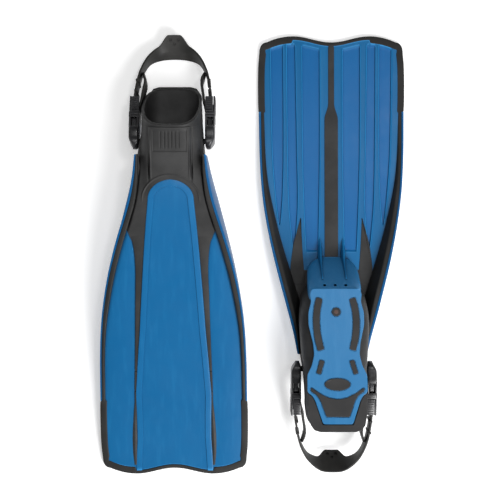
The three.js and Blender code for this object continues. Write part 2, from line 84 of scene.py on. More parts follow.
# ---- driving dimensions, in mm: the CAD part's own ----
BLADE_SLOPE = math.tan(math.radians(9))
TIP_EDGE_HALF = 2.8
PLATE_HALF = 2.0
TIP_LOBE_X = 57.0
TIP_NOTCH = 9.0
TIP_CORNER_X = 106.0
TIP_CORNER_Y = 14.0
SIDE_BAND = 9.5
RAIL_START = 112.0
RAIL_END = 468.0
ROUND_START = 405.0  # of the centre panel's round rear end
ROUND_HALF = 32.8
PANEL_END = 433.0
SOLE_TOP = 4.5
WALL = 3.2
POCKET_BOTTOM = 4.85
RIM_Y = 516.0
RIM_TOP = 96.0
PIVOT_Y = 490.0
PIVOT_Z = 50.0
SOCKET_INNER = 47.5
SOCKET_OUTER = 61.5
SOCKET_HALF = 14.5
TUNNEL_HALF = 12.3
WINDOW_START = 18.0
WINDOW_END = 32.0
SOCKET_END = 41.0
CLIP_END = 65.0
BAR_X = 51.3
BAR_Y = 55.0
BAR_RADIUS = 2.6
STRAP_HALF = 10.8
STRAP_THICKNESS = 3.0
STRAP_APEX = 145.0
STRAP_LEAN = {"finA": 48.0, "finB": -38.0}
MM = 0.001


# ---- curves ----
def profile(points):
    """A smooth curve through (position, value) points, level outside them."""
    xs, ys = np.array(points, float).T
    wide_xs, wide_ys = np.pad(xs, 1, mode="edge"), np.pad(ys, 1, mode="edge")
    slopes = (wide_ys[2:] - wide_ys[:-2]) / (wide_xs[2:] - wide_xs[:-2])

    def value(position):
        t = np.clip(np.asarray(position, float), xs[0], xs[-1])
        i = np.clip(np.searchsorted(xs, t, side="right") - 1, 0, len(xs) - 2)
        span = xs[i + 1] - xs[i]
        u = (t - xs[i]) / span
        return (
            (1 + 2 * u) * (1 - u) ** 2 * ys[i]
            + u * (1 - u) ** 2 * span * slopes[i]
            + u * u * (3 - 2 * u) * ys[i + 1]
            + u * u * (u - 1) * span * slopes[i + 1]
        )

    return value


def fade(low, high, value):
    """Rises smoothly from 0 at low to 1 at high; low may be the greater."""
    t = np.clip((np.asarray(value, float) - low) / (high - low), 0, 1)
    return t * t * (3 - 2 * t)


def bell(distance, width):
    """1 at distance 0, fading to 0 over about two widths on each side."""
    return np.exp(-((distance / width) ** 2))


band_half_width = profile([(14, 106), (46, 108.8), (95, 109), (112, 108.3)])
rail_half_width = profile([
    (112, 108), (180, 106.7), (235, 103), (289, 94.8), (340, 83.8), (397, 69), (440, 57.5),
    (468, 51.5),
])
rail_top = profile([(112, 3.4), (200, 4.8), (300, 6.3), (400, 7.2), (468, 6)])
rail_bottom = profile([(112, -3.6), (200, -8), (290, -15), (360, -23), (425, -25), (468, -14)])
rail_lean = profile([(112, 0), (250, 0.6), (300, 1.5), (340, 3.2), (400, 6.4), (435, 4.6), (468, 1.5)])
skin_width = profile([(112, 2.4), (270, 2.4), (350, 3.2), (430, 3.2), (468, 2.2)])
cap_width = profile([(112, 4.8), (200, 5), (270, 7), (400, 7.2), (440, 4.5), (468, 2.6)])
cap_fillet = profile([(112, 1), (205, 3), (300, 7.5), (400, 9), (440, 5), (468, 1)])
panel_half = profile([
    (8, 57.5), (34, 56.2), (52, 55.1), (89, 55.1), (122, 55.6), (144, 54), (180, 51.3), (215, 48.2),
    (250, 45.8), (302, 42), (354, 37.8), (405, 32.8),
])
leg_outer = profile([
    (16, 60), (34, 62), (60, 62), (89, 59.9), (110, 57.6), (130, 57.3), (197, 55), (268, 53), (302, 52),
    (325, 52.8), (345, 55.5), (357, 60), (368, 68),
])


def tip_band(x):
    """Width of the tip's rubber edge, thicker outside the lobes' crests."""
    return 5.8 + 4.8 * fade(TIP_LOBE_X, TIP_LOBE_X + 2.5, np.abs(x))


def tip_line(x):
    reach = np.abs(x)
    lobes = TIP_NOTCH * (1 + np.cos(np.pi * reach / TIP_LOBE_X)) / 2
    corner = TIP_CORNER_Y * ((reach - TIP_LOBE_X) / (TIP_CORNER_X - TIP_LOBE_X)) ** 2
    return np.where(reach <= TIP_LOBE_X, lobes, corner)


def rail_x(y, height, inset):
    """x of the rail's leaning side at a height over the blade plane, inset from its outer face."""
    rise = (height - rail_bottom(y)) / (rail_top(y) - rail_bottom(y))
    return rail_half_width(y) - rail_lean(y) * rise - inset


def inside_edge(y):
    """Half the width between the rubber edge's two inner faces."""
    behind = rail_x(y, PLATE_HALF + 1, skin_width(y) + cap_width(y))
    ahead = band_half_width(y) - SIDE_BAND
    return np.where(np.asarray(y) < RAIL_START, ahead, behind)


# ---- meshes: (points, faces) pairs in mm ----
def merged(*parts):
    points, faces, start = [], [], 0
    for part_points, part_faces in parts:
        points.append(np.asarray(part_points, float))
        faces += [tuple(i + start for i in face) for face in part_faces]
        start += len(part_points)
    return np.vstack(points), faces


def loft(rings):
    """A closed solid through rings of equal point count, capped at both ends."""
    rings = np.asarray(rings, float)
    count, size = rings.shape[:2]
    faces = [
        (r * size + i, r * size + (i + 1) % size, (r + 1) * size + (i + 1) % size, (r + 1) * size + i)
        for r in range(count - 1)
        for i in range(size)
    ]
    faces.append(tuple(reversed(range(size))))
    faces.append(tuple(range((count - 1) * size, count * size)))
    return rings.reshape(-1, 3), faces


def sheet(x, y, top, bottom):
    """A closed sheet over a grid: x, y, top and bottom are (rows, columns) arrays."""
    upper, lower = (np.stack([x, y, z], axis=-1).reshape(-1, 3) for z in (top, bottom))
    half, grid = x.size, np.arange(x.size).reshape(x.shape)
    a, b, c, d = grid[:-1, :-1], grid[:-1, 1:], grid[1:, 1:], grid[1:, :-1]
    faces = np.stack([a, b, c, d], axis=-1).reshape(-1, 4).tolist()
    faces += (np.stack([a, d, c, b], axis=-1).reshape(-1, 4) + half).tolist()
    rim = np.concatenate([grid[0], grid[1:, -1], grid[-1, -2::-1], grid[-2:0:-1, 0]]).tolist()
    faces += [(p, p + half, q + half, q) for p, q in zip(rim, rim[1:] + rim[:1])]
    return np.vstack([upper, lower]), faces


def rounded(corners, radius, segments):
    """A ring of points round a polygon whose corners are rounded."""
    corners = np.asarray(corners, float)
    ring = []
    for i, corner in enumerate(corners):
        back = corners[i - 1] - corner
        ahead = corners[(i + 1) % len(corners)] - corner
        back_length, ahead_length = np.linalg.norm(back), np.linalg.norm(ahead)
        start = corner + back / back_length * min(radius, 0.48 * back_length)
        end = corner + ahead / ahead_length * min(radius, 0.48 * ahead_length)
        for u in np.linspace(0, 1, segments + 1):
            ring.append((1 - u) ** 2 * start + 2 * u * (1 - u) * corner + u * u * end)
    return np.array(ring)


def eased(low, high, ease, turns):
    """(position, inset) stations from one rounded end of a piece to the other."""
    angles = np.linspace(0, math.pi / 2, turns)
    start = [(low + ease * (1 - math.sin(a)), ease * (1 - math.cos(a))) for a in angles[::-1]]
    end = [(high - ease * (1 - math.sin(a)), ease * (1 - math.cos(a))) for a in angles]
    return start + end


def block(low, high, radius):
    """A box between two corners with rounded edges, lofted along y."""
    (x0, y0, z0), (x1, y1, z1) = low, high
    radius = min(radius, (x1 - x0) / 2.2, (y1 - y0) / 2.2, (z1 - z0) / 2.2)
    rings = []
    for y, inset in eased(y0, y1, radius, 4):
        corners = [
            (x0 + inset, y, z0 + inset), (x1 - inset, y, z0 + inset),
            (x1 - inset, y, z1 - inset), (x0 + inset, y, z1 - inset),
        ]
        rings.append(rounded(corners, radius - inset + 0.08, 3))
    return loft(rings)


def blocks(boxes):
    """Several rounded boxes in one part, each given as (low, high, radius)."""
    return merged(*[block(*box) for box in boxes])


def outward(sign, near, far):
    """The ends, in rising order, of a span that runs outward on the side given by sign."""
    return sorted((sign * near, sign * far))


def rod(start, end, radius, sides=28, edge=0.4):
    """A round bar between two points with eased ends."""
    start, end = np.asarray(start, float), np.asarray(end, float)
    along = (end - start) / np.linalg.norm(end - start)
    helper = np.array([0, 0, 1.0]) if abs(along[2]) < 0.9 else np.array([0, 1.0, 0])
    side = np.cross(along, helper)
    side /= np.linalg.norm(side)
    up = np.cross(side, along)
    turns = np.linspace(0, 2 * math.pi, sides, endpoint=False)
    spokes = np.array([math.cos(a) * side + math.sin(a) * up for a in turns])
    centres = start, start + along * edge, end - along * edge, end
    radii = radius - edge, radius, radius, radius - edge
    return loft([centre + reach * spokes for centre, reach in zip(centres, radii)])


def offset(outline, distance):
    """A counter-clockwise or clockwise outline moved outward by a distance."""
    outline = np.asarray(outline, float)
    x, y = outline.T
    area = np.sum(x * np.roll(y, -1) - np.roll(x, -1) * y)
    ahead = np.roll(outline, -1, axis=0) - outline
    ahead /= np.linalg.norm(ahead, axis=1)[:, None]
    side = np.stack([ahead[:, 1], -ahead[:, 0]], axis=1) * np.sign(area)
    normal = side + np.roll(side, 1, axis=0)
    normal /= np.linalg.norm(normal, axis=1)[:, None]
    stretch = np.maximum(np.sum(normal * side, axis=1), 0.5)
    return outline + normal * (distance / stretch)[:, None]


def soft_outline(corners, radius, segments):
    """A flat outline with rounded corners."""
    flat = [(x, y, 0) for x, y in corners]
    return rounded(flat, radius, segments)[:, :2]


def edge_rings(outline, low, high, ease, inward):
    """Stacked rings of an outline whose upper and lower edges are rounded."""
    stations = [(low, ease + 0.3)] + eased(low, high, ease, 4) + [(high, ease + 0.3)]
    return [[(x, y, z) for x, y in offset(outline, inward * inset)] for z, inset in stations]


def plate(outlines, low, high, ease):
    """A flat plate inside the first outline and outside the others, with rounded edges."""
    walls, corners, edges = [], [], []
    for k, outline in enumerate(outlines):
        rings = edge_rings(outline, low, high, ease, -1 if k == 0 else 1)
        points, faces = loft(rings)
        walls.append((points, faces[:-2]))  # without the two end caps
        start, count = len(corners), len(outline)
        corners += [Vector((x, y)) for x, y, _ in rings[0]]
        edges += [(start + i, start + (i + 1) % count) for i in range(count)]
    flat, _, triangles, *_ = delaunay_2d_cdt(corners, edges, [], 3, 1e-5)
    lower = np.array([(p.x, p.y, low) for p in flat])
    upper = lower + [0, 0, high - low]
    return merged(*walls, (lower, [tuple(reversed(t)) for t in triangles]), (upper, triangles))


def pad(outline, low, high, ease):
    return plate([outline], low, high, ease)


def add_object(name, data):
    """A new object in the scene."""
    made = bpy.data.objects.new(name, data)
    bpy.context.scene.collection.objects.link(made)
    return made


def weld(mesh, reach, degenerate=False):
    """Joins doubled points, can remove faces of no area, and turns every face outward."""
    shape = bmesh.new()
    shape.from_mesh(mesh)
    bmesh.ops.remove_doubles(shape, verts=shape.verts, dist=reach)
    if degenerate:
        bmesh.ops.dissolve_degenerate(shape, edges=shape.edges, dist=reach)
    bmesh.ops.recalc_face_normals(shape, faces=shape.faces)
    shape.to_mesh(mesh)
    shape.free()


def carve(host, cutter):
    """A part with another part cut out of it."""
    made = []
    for name, (points, faces) in (("host", host), ("cutter", cutter)):
        mesh = bpy.data.meshes.new(name)
        mesh.from_pydata(np.asarray(points).tolist(), [], faces)
        weld(mesh, 1e-4)
        made.append(add_object(name, mesh))
    step = made[0].modifiers.new("carve", "BOOLEAN")
    step.operation = "DIFFERENCE"
    step.solver = "EXACT"
    step.object = made[1]
    bpy.context.view_layer.update()
    carved = made[0].evaluated_get(bpy.context.evaluated_depsgraph_get())
    mesh = bpy.data.meshes.new_from_object(carved)
    points = np.array([tuple(v.co) for v in mesh.vertices])
    faces = [tuple(p.vertices) for p in mesh.polygons]
    for old in [mesh, *(holder.data for holder in made)]:
        bpy.data.meshes.remove(old)
    return points, faces


def mirror(part):
    points, faces = part
    points = np.array(points, float)
    points[:, 0] *= -1
    return points, [tuple(reversed(face)) for face in faces]


def on_blade(part):
    """Leans a piece built about z = 0 onto the blade's sloping middle plane."""
    points, faces = part
    points = np.array(points, float)
    points[:, 2] += TIP_EDGE_HALF + BLADE_SLOPE * points[:, 1]
    return points, faces


def fin_matrices(fin):
    """(fin frame, strap frame) to the row frame, from the record's mounts and joints."""
    mounts = {m["name"].split("_")[0]: m for m in frame["record"]["mounts"]}
    joints = {j["name"]: j for j in frame["joints"]}
    left, right = (Vector(joints[f"{fin}_swing_{side}"]["pos_m"]) for side in ("left", "right"))
    pivot = Matrix.Translation((left + right) / 2)
    _, down_y, down_z = mounts[fin]["axis"]
    turn = Matrix.Rotation(math.atan2(down_y, -down_z), 4, "X")
    scale = Matrix.Scale(MM, 4)
    _, back_y, back_z = joints[f"{fin}_strap_release"]["axis"]
    swing = Matrix.Rotation(math.atan2(back_z, back_y), 4, "X")
    fin_frame = pivot @ turn @ scale @ Matrix.Translation((0, -PIVOT_Y, -PIVOT_Z))
    return fin_frame, pivot @ swing @ scale


def add_piece(name, part, place, material, node, smooth, second=None, marks=None):
    """Makes a mesh piece from a part, on the body of the CAD node it stands for, and hides that node.

    Faces marked 1 take the second material. Edges sharper than smooth (degrees) stay sharp.
    """
    points, faces = part
    turn = np.array(place.to_3x3())
    shift = np.array(place.translation)
    mesh = bpy.data.meshes.new(name)
    mesh.from_pydata((np.asarray(points, float) @ turn.T + shift).tolist(), [], faces)
    mesh.materials.append(material)
    if second:
        mesh.materials.append(second)
        mesh.polygons.foreach_set("material_index", np.asarray(marks, dtype=np.int32))
    weld(mesh, 1e-6, degenerate=True)
    mesh.shade_smooth()
    mesh.set_sharp_from_angle(angle=math.radians(smooth))
    piece = add_object(name, mesh)
    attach(piece, frame["nodes"][node]["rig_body"])
    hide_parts(node)


# ---- materials ----
# Reach of the painted shade that darkens grooves and corners.
PAINTED_SHADE_REACH = 0.006  # metres


def set_inputs(node, inputs):
    """Gives a shader node's inputs numbers, colours or the outputs of other nodes."""
    for key, value in inputs.items():
        slot = node.inputs[key]
        if isinstance(value, bpy.types.NodeSocket):
            node.id_data.links.new(value, slot)
        else:
            slot.default_value = (*value, 1) if slot.type == "RGBA" else value
    return node


def make_node(tree, kind, inputs):
    return set_inputs(tree.nodes.new("ShaderNode" + kind), inputs)


def node_material(name):
    """(material, its surface shader, the place on the object that patterns are drawn by)."""
    material = bpy.data.materials.new(name)
    material.use_nodes = True
    tree = material.node_tree
    tree.nodes.clear()
    shader = make_node(tree, "BsdfPrincipled", {})
    make_node(tree, "OutputMaterial", {"Surface": shader.outputs[0]})
    return material, shader, make_node(tree, "TexCoord", {}).outputs["Object"]


def noise(place, scale, detail=3.0, stretch=None):
    tree = place.id_data
    if stretch:
        place = make_node(tree, "Mapping", {"Scale": stretch, "Vector": place}).outputs[0]
    inputs = {"Scale": scale, "Detail": detail, "Vector": place}
    return make_node(tree, "TexNoise", inputs).outputs["Fac"]


def ramp(value, low, high):
    inputs = {"Value": value, "From Min": low, "From Max": high}
    node = make_node(value.id_data, "MapRange", inputs)
    node.interpolation_type = "SMOOTHSTEP"
    return node.outputs["Result"]


def blend_colour(amount, first, second):
    node = amount.id_data.nodes.new("ShaderNodeMix")
    node.data_type = "RGBA"
    colours = [k for k, slot in enumerate(node.inputs) if slot.type == "RGBA"]
    set_inputs(node, {0: amount, colours[0]: first, colours[1]: second})
    return [slot for slot in node.outputs if slot.type == "RGBA"][0]


def scaled(value, factor, add=0.0):
    node = make_node(value.id_data, "Math", {0: value, 1: factor, 2: add})
    node.operation = "MULTIPLY_ADD"
    return node.outputs[0]


def bump(shader, height, distance, strength, after=None):
    inputs = {"Strength": strength, "Distance": distance, "Height": height}
    if after:
        inputs["Normal"] = after
    normal = make_node(shader.id_data, "Bump", inputs).outputs[0]
    set_inputs(shader, {"Normal": normal})
    return normal


def tint(colour, factor, add=0.0):
    return tuple(min(1.0, channel * factor + add) for channel in colour)


def edge_wear_and_highlight(shader, low=0.52, high=0.60):
    """1 on convex edges, 0 elsewhere: where edges are made paler, partly as wear and partly as painted
    highlight.
    """
    geometry = make_node(shader.id_data, "NewGeometry", {})
    return ramp(geometry.outputs["Pointiness"], low, high)


def painted_crease_shade(colour, dark):
    """Paints shade into a colour in grooves and corners, from ambient occlusion, down to a third of the
    material's dark tone.
    """
    node = make_node(colour.id_data, "AmbientOcclusion", {"Distance": PAINTED_SHADE_REACH})
    node.samples = 8
    return blend_colour(ramp(node.outputs["AO"], 0.35, 0.95), tint(dark, 0.35), colour)


def blue_plastic(name, dark, light, gloss=0.32, wear_and_highlight_from=0.52, wear_and_highlight_to=0.60):
    """Moulded polypropylene: cloudy flow marks, fine grain, paler edges that are partly wear and partly
    painted highlight, and painted shade in creases.
    """
    material, shader, place = node_material(name)
    clouds = scaled(noise(place, 11, 4), 0.55)
    flow = ramp(noise(place, 150, 3, stretch=(1.0, 0.03, 1.0)), 0.45, 0.75)
    streaked = blend_colour(scaled(flow, 0.4), blend_colour(clouds, dark, light), light)
    # Paler edges along ridges and channel lines: partly wear, partly painted highlight.
    edges = scaled(edge_wear_and_highlight(shader, wear_and_highlight_from, wear_and_highlight_to), 0.75)
    worn_and_highlit = blend_colour(edges, streaked, tint(light, 1.8, 0.02))
    grain = bump(shader, noise(place, 2600, 2), 0.00005, 0.35)
    bump(shader, noise(place, 90, 2), 0.0004, 0.25, after=grain)
    set_inputs(shader, {
        # Base colour: painted shade in grooves and corners, over paler edges that are partly wear and
        # partly painted highlight.
        "Base Color": painted_crease_shade(worn_and_highlit, dark),
        "Roughness": scaled(noise(place, 60), 0.16, 0.30),
        "Specular IOR Level": gloss,
    })
    return material


def rubber(name, dark, light, roughness=0.58, grain_scale=1700):
    """Thermoplastic rubber: powdery grey bloom, pebbled grain, paler edges that are partly rubbing and
    partly painted highlight, and painted shade in creases.
    """
    material, shader, place = node_material(name)
    bloom = ramp(noise(place, 26, 5), 0.3, 0.75)
    speckle = ramp(noise(place, 700, 2), 0.62, 0.8)
    mixed = blend_colour(bloom, dark, light)
    dusty = blend_colour(scaled(speckle, 0.25), mixed, tint(light, 1.9))
    # Paler rubbed edges: partly wear, partly painted highlight.
    worn_and_highlit = blend_colour(scaled(edge_wear_and_highlight(shader), 0.5), dusty, tint(light, 2.4))
    bump(shader, noise(place, grain_scale, 3), 0.0001, 0.5)
    set_inputs(shader, {
        # Base colour: painted shade in grooves and corners, over paler edges that are partly rubbing
        # and partly painted highlight.
        "Base Color": painted_crease_shade(worn_and_highlit, dark),
        "Roughness": scaled(noise(place, 80), 0.2, roughness - 0.1),
        "Specular IOR Level": 0.3,
    })
    return material


def buckle_plastic(name):
    """Black acetal: satin, finely spark-eroded, with paler corners that are partly scuffs and partly
    painted highlight.
    """
    material, shader, place = node_material(name)
    tone = ramp(noise(place, 90, 3), 0.35, 0.7)
    base = blend_colour(tone, (0.010, 0.010, 0.011), (0.022, 0.022, 0.024))
    # Paler corners: partly scuffs, partly painted highlight.
    worn_and_highlit = blend_colour(scaled(edge_wear_and_highlight(shader), 0.6), base, (0.09, 0.09, 0.095))
    bump(shader, noise(place, 2400, 2), 0.00006, 0.5)
    set_inputs(shader, {"Base Color": worn_and_highlit, "Roughness": scaled(noise(place, 260), 0.2, 0.2)})
    return material


def steel(name):
    """Drawn stainless bar with fine lines along it."""
    material, shader, place = node_material(name)
    lines = noise(place, 900, 2, stretch=(1.0, 1.0, 0.04))
    bump(shader, lines, 0.00003, 0.4)
    set_inputs(shader, {
        "Base Color": blend_colour(lines, (0.40, 0.40, 0.41), (0.68, 0.68, 0.69)),
        "Roughness": scaled(lines, 0.2, 0.22),
        "Metallic": 1,
    })
    return material


BLADE_TONES = (0.001, 0.090, 0.240), (0.009, 0.136, 0.318)
BLUE = blue_plastic("blade_blue", *BLADE_TONES, 0.22)
SHEET_BLUE = blue_plastic("sheet_blue", *BLADE_TONES, 0.22, 0.508, 0.535)
# A darker, deeper copy of the blade blue, as painted shade on the channel floors under the blade.
SHADED_CHANNEL_BLUE = blue_plastic("channel_blue_shaded", (0.001, 0.090, 0.270), (0.002, 0.118, 0.325), 0.25)
# A darker copy of the blade blue, as painted shade on the rails' outer walls.
SHADED_RAIL_BLUE = blue_plastic("rail_blue_shaded", (0.002, 0.070, 0.200), (0.010, 0.105, 0.270), 0.1)
# A paler copy of the blade blue, as painted light on the sole and toe cup, which face the lamps.
LIT_SOLE_BLUE = blue_plastic("sole_blue_lit", (0.012, 0.140, 0.330), (0.036, 0.190, 0.400))
SOFT_RUBBER = rubber("pocket_rubber", (0.016, 0.016, 0.0162), (0.032, 0.032, 0.0323))
EDGE_RUBBER = rubber("edge_rubber", (0.009, 0.009, 0.0085), (0.018, 0.0175, 0.017))
PLUG_RUBBER = rubber("plug_rubber", (0.060, 0.036, 0.030), (0.100, 0.062, 0.052))
GRIP_RUBBER = rubber("grip_rubber", (0.018, 0.018, 0.0185), (0.030, 0.029, 0.029), grain_scale=2200)
STRAP_RUBBER = rubber("strap_rubber", (0.012, 0.012, 0.0115), (0.022, 0.021, 0.0195), roughness=0.54)
BUCKLE = buckle_plastic("buckle_black")
STEEL = steel("bar_steel")


# ---- the blade ----
UNDER_CHANNELS = [
    # outer line, inner line and rear end of each channel under one half of the blade
    (profile(outer), profile(inner), end)
    for outer, inner, end in (
        ([(15, 90), (170, 87), (235, 82.5), (281, 77.5)],
         [(15, 72), (170, 71.5), (235, 73), (281, 76.5)], 279),
        ([(15, 66), (170, 64.5), (250, 62.5), (316, 56.5)],
         [(15, 54), (170, 51.5), (250, 50.5), (316, 55)], 314),
        ([(15, 43), (170, 42), (250, 40), (318, 37)], [(15, 17.5), (170, 17.5), (320, 20)], 318),
    )
]
CHANNEL_DEPTH = 1.8
BEAD_HEIGHT = 0.45
BEAD_MIDDLE = 0.9
SHEET_END = 372.0
WALL_LINES = 4  # lines of the blade's columns at each channel wall


def under_pattern(x, y):
    """(relief, beads): 1 in the long channels, and 1 on the thin raised lines beside them."""
    reach, relief, beads = np.abs(x), 0, 0
    behind_tip = fade(12, 14, y - tip_line(x))
    for outer, inner, end in UNDER_CHANNELS:
        inside = fade(-0.45, 0.45, outer(y) - reach) * fade(-0.45, 0.45, reach - inner(y))
        relief = relief + inside * (1 - fade(end - 2.5, end, y)) * behind_tip
        sides = bell(reach - outer(y) - BEAD_MIDDLE, 0.4) + bell(inner(y) - BEAD_MIDDLE - reach, 0.4)
        beads = beads + sides * fade(end, end - 12, y) * behind_tip
    return relief, beads


def column_lines(y):
    """The lines that the blade's columns follow on one half, from the middle to the rail."""
    walls = [line(y) for outer, inner, _ in UNDER_CHANNELS[::-1] for line in (inner, outer)]
    lines = [0 * y] + [wall + d for wall in walls for d in (-1.3, -0.5, 0.5, 1.3)]
    lines.append(inside_edge(np.maximum(y, 34)) + 1.2)
    for index in range(len(lines) - 2, 0, -1):
        lines[index] = np.minimum(lines[index], lines[index + 1] - 0.1)
    return np.array(lines)


def blade_plate():
    """The blue sheet, and a mark on each face that lies at the bottom of an underside channel; marked
    faces take the darker blue of painted shade.
    """
    v = np.linspace(0, 1, 200)[:, None]
    spans = 2 * WALL_LINES * len(UNDER_CHANNELS) + 1
    steps = [np.linspace(k, k + 1, 2 if k % WALL_LINES else 8, endpoint=False) for k in range(spans)]
    half_steps = np.concatenate(steps + [[spans]])
    side = np.concatenate([-np.ones(len(half_steps) - 1), np.ones(len(half_steps))])
    at = np.concatenate([half_steps[:0:-1], half_steps])
    key, column = np.minimum(at.astype(int), spans - 1), np.arange(len(at))
    y = v * SHEET_END + 0 * at
    for _ in range(4):  # x and y depend on each other, and settle in four rounds
        lines = column_lines(y)
        low, high = lines[key, :, column].T, lines[key + 1, :, column].T
        x = side * (low + (high - low) * (at - key))
        front = tip_line(x[0]) + tip_band(x[0]) - 1.2
        y = front * (1 - v) + SHEET_END * v
    reach = np.abs(x)
    span = np.maximum(inside_edge(np.maximum(y, 34)) - leg_outer(y), 4)
    across = np.clip((reach - leg_outer(y)) / span, 0, 1)
    top = PLATE_HALF + 0.5 * np.sin(math.pi * across) - 0.3
    relief, beads = under_pattern(x, y)
    bottom = -PLATE_HALF - 0.3 + CHANNEL_DEPTH * relief - BEAD_HEIGHT * beads
    points, faces = on_blade(sheet(x, y, top, bottom))
    half = x.size
    depth = np.concatenate([np.zeros(half), relief.ravel()])
    marks = [min(face) >= half and depth[list(face)].mean() > 0.6 for face in faces]
    return (points, faces), marks


def centre_panel():
    """The raised blue panel: eased edges, and a shallow recess with crisp walls inside its border."""
    border, recess = 9.0, 1.1
    turns = np.linspace(0, math.pi / 2 - 0.02, 30)[1:]
    rows = list(np.linspace(0, ROUND_START, 120))
    rows += [ROUND_START + (PANEL_END - ROUND_START) * math.sin(a) for a in turns]
    shoulder = np.array([0, 0.15, 0.45, 0.9, 1.5])
    drop = np.array([2.2, 1.1, 0.45, 0.1, 0.0])
    x_rows, top_rows = [], []
    for y in rows:
        half = panel_half(y)
        inner = half - border
        if y > ROUND_START:
            share = (y - ROUND_START) / (PANEL_END - ROUND_START)
            half = ROUND_HALF * math.sqrt(max(1 - share * share, 0)) + 0.05
            share = min((y - ROUND_START) / (PANEL_END - border - ROUND_START), 1)
            inner = (ROUND_HALF - border) * math.sqrt(1 - share * share)
        depth = recess * fade(0, 2, inner)
        scoop = 0.4 * fade(70, 30, y)
        edge = half - shoulder * min(1, half / 4)
        wall = [inner + 0.3, inner - 0.3] if inner > 0.6 else [inner * 0.9, inner * 0.8]
        middle = np.linspace(0.8, 0, 9)
        xs = list(edge) + wall + list(middle * wall[-1])
        zs = list(-drop) + [0.0, -depth] + [-depth - scoop * (1 - m * m) for m in middle]
        x_rows.append([-value for value in xs] + xs[::-1][1:])
        top_rows.append(zs + zs[::-1][1:])
    x = np.array(x_rows)
    y = np.array(rows)[:, None] + 0 * x
    front = tip_line(x[0]) + tip_band(x[0]) - 1.0
    y = y + front * np.clip(1 - y / 60, 0, 1)
    top = np.array(top_rows) + np.minimum(2.6 + 0.013 * y, 5.6)
    return on_blade(sheet(x, y, np.maximum(top, 0.6), 0 * x + 0.4))


GUSSET_X = 17


def gusset():
    """A thin upright rib under the blade that runs down the front of the toe cup."""
    lower = profile([
        (294, 47.6), (308, 45.6), (322, 41.0), (334, 36.0), (346, 28.0), (358, 17.5), (364, 13.5),
    ])
    rings = []
    for y in np.linspace(294, 364, 24):
        low, high = lower(y), BLADE_SLOPE * y + 1.4
        thick = 0.5 + 0.9 * fade(294, 306, y)
        flare = 2.6 * fade(298, 320, y)
        corners = [
            (GUSSET_X - thick - flare, y, high), (GUSSET_X + thick + flare, y, high),
            (GUSSET_X + thick * 0.7, y, low), (GUSSET_X - thick * 0.7, y, low),
        ]
        rings.append(rounded(corners, 0.4, 2))
    return loft(rings)


def rail_skin():
    rings = []
    middle = np.linspace(RAIL_START + 3, RAIL_END - 3, 60)
    for y in [RAIL_START, RAIL_START + 0.6, *middle, RAIL_END - 0.7, RAIL_END]:
        ease = 0.7 if y in (RAIL_START, RAIL_END) else 0.0
        top, bottom, inner = rail_top(y) - ease, rail_bottom(y) + ease, skin_width(y) + 0.8
        corners = [
            (rail_x(y, bottom, ease), y, bottom), (rail_x(y, top, ease), y, top),
            (rail_x(y, top, inner), y, top), (rail_x(y, bottom, inner), y, bottom),
        ]
        rings.append(rounded(corners, 0.9, 3))
    return on_blade(loft(rings))


def rubber_edge():
    """Rail caps and tip edge in one piece, from the right rail's rear end round to the left's."""
    right = []
    for y in np.linspace(RAIL_END, RAIL_START + 2, 80):
        top, bottom = rail_top(y) + 1.2, rail_bottom(y) + 0.6
        outer, inner = skin_width(y) + 0.1, skin_width(y) + cap_width(y)
        right.append(rounded([
            (rail_x(y, bottom, outer), y, bottom), (rail_x(y, top, outer), y, top),
            (rail_x(y, top, inner), y, top), (rail_x(y, -2.2, inner), y, -2.2),
            (rail_x(y, -2.9, inner + cap_fillet(y)), y, -2.9),
            (rail_x(y, bottom, inner - 0.5), y, bottom),
        ], 1.8, 4))

    def flat(outer, inner):
        half = TIP_EDGE_HALF
        return rounded([
            (*outer, -half), (*outer, half),
            (*inner, half), (*inner, -1.6), (*inner, -2.2), (*inner, -half),
        ], 1.4, 4)

    for y in np.linspace(RAIL_START - 1.5, 26, 18):
        x = band_half_width(y)
        right.append(flat((x, y), (x - SIDE_BAND - 0.5, y + 1)))
    start, far = np.array([float(band_half_width(26)), 26.0]), TIP_CORNER_X - 10
    end = np.array([far, float(tip_line(far))])
    corner = np.array([TIP_CORNER_X + 1.5, TIP_CORNER_Y - 4.0])
    for u in np.linspace(0.15, 0.85, 6):
        outer = (1 - u) ** 2 * start + 2 * u * (1 - u) * corner + u * u * end
        inner = (1 - u) * (start + [-SIDE_BAND - 0.5, 1]) + u * (end + [-2.5, 11])
        inner = inner + np.array([2.5, -2.5]) * math.sin(math.pi * u)
        right.append(flat(tuple(outer), tuple(inner)))
    for x in [*np.linspace(far, 60, 14), *np.linspace(59.4, 56.6, 6), *np.linspace(54, 0, 24)]:
        y = float(tip_line(x))
        right.append(flat((x, y), (x * 0.985, y + float(tip_band(x * 0.985)))))
    left = [ring * [-1, 1, 1] for ring in right[-2::-1]]
    return on_blade(loft(right + left))


